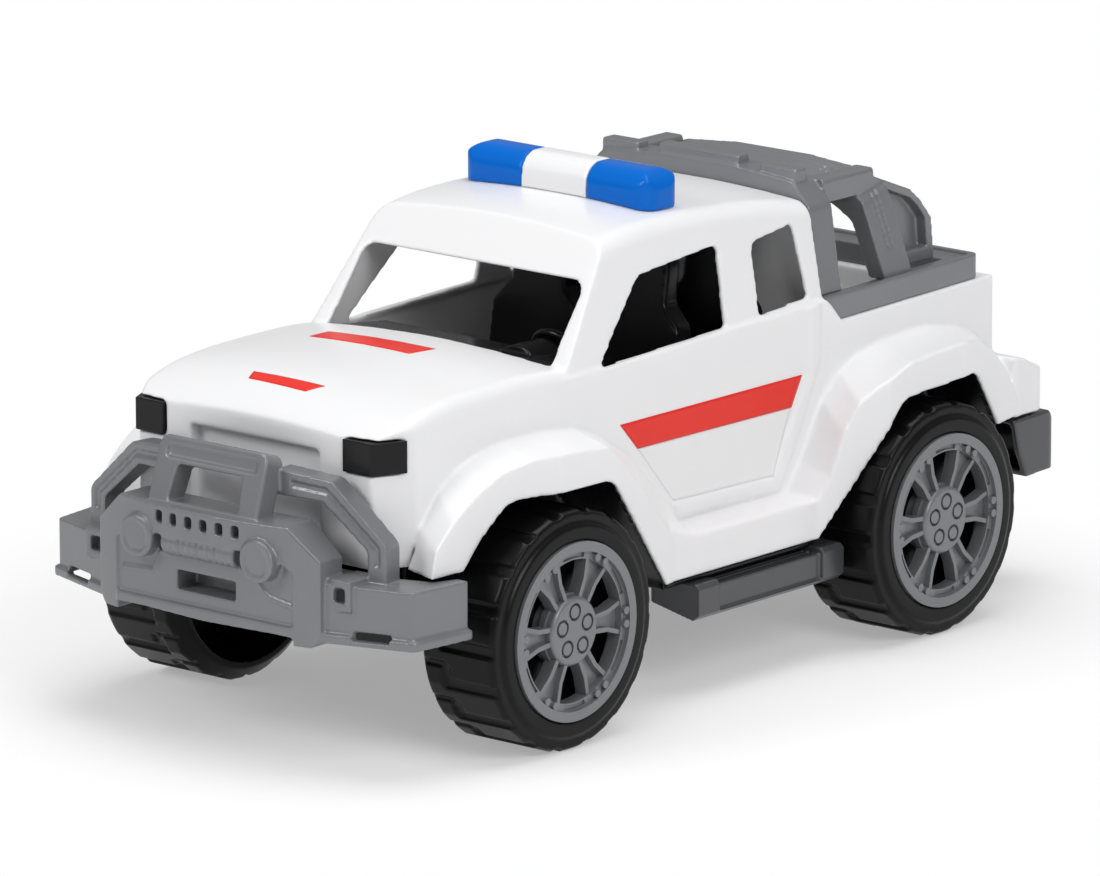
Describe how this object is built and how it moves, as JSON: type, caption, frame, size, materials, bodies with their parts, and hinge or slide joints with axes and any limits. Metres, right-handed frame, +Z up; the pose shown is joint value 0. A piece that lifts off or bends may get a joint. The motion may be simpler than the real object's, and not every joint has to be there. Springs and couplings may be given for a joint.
{
  "type": "toy ambulance pickup",
  "caption": "White moulded toy ambulance pickup with blue roof lights, grey bull bar, grey roll cage and bed rail, black seats and free-rolling black wheels with grey discs.",
  "frame": {"origin": "on the floor under the middle of the whole toy's bounding box", "axes": "+Z up, the nose points towards -Y, the vehicle's own left side is towards +X"},
  "size_m": [0.1896, 0.3896, 0.1823],
  "materials": {
    "white_plastic": "glossy moulded white",
    "grey_plastic": "satin moulded grey",
    "disc_plastic": "satin moulded grey",
    "blue_plastic": "glossy moulded blue",
    "black_plastic": "glossy moulded black",
    "tyre_plastic": "satin moulded black",
    "dark_grey_plastic": "satin moulded dark grey",
    "steel": "plain steel",
    "red_film": "glossy red sticker film",
    "pale_film": "glossy off-white sticker film"
  },
  "bodies": {
    "vehicle": {"body_shell": "white_plastic", "light_bar": "white_plastic", "chassis": "black_plastic", "cabin_insert": "black_plastic", "dashboard": "black_plastic", "steering_wheel": "black_plastic", "headlight_left": "black_plastic", "headlight_right": "black_plastic", "side_step_left": "dark_grey_plastic", "side_step_right": "dark_grey_plastic", "rear_bumper": "dark_grey_plastic", "front_bumper": "grey_plastic", "roll_cage": "grey_plastic", "bed_rail": "grey_plastic", "light_lens_left": "blue_plastic", "light_lens_right": "blue_plastic", "chassis_screws": "steel"},
    "front_wheelset": {"front_axle": "steel", "front_left_tyre": "tyre_plastic", "front_right_tyre": "tyre_plastic", "front_left_disc": "disc_plastic", "front_right_disc": "disc_plastic"},
    "rear_wheelset": {"rear_axle": "steel", "rear_left_tyre": "tyre_plastic", "rear_right_tyre": "tyre_plastic", "rear_left_disc": "disc_plastic", "rear_right_disc": "disc_plastic"}
  },
  "joints": [
    {"name": "front_axle_roll", "type": "hinge", "parent": "vehicle", "child": "front_wheelset", "pos_m": [0, -0.1019, 0.0428], "axis": [1, 0, 0], "continuous": true},
    {"name": "rear_axle_roll", "type": "hinge", "parent": "vehicle", "child": "rear_wheelset", "pos_m": [0, 0.1061, 0.0428], "axis": [1, 0, 0], "continuous": true}
  ]
}
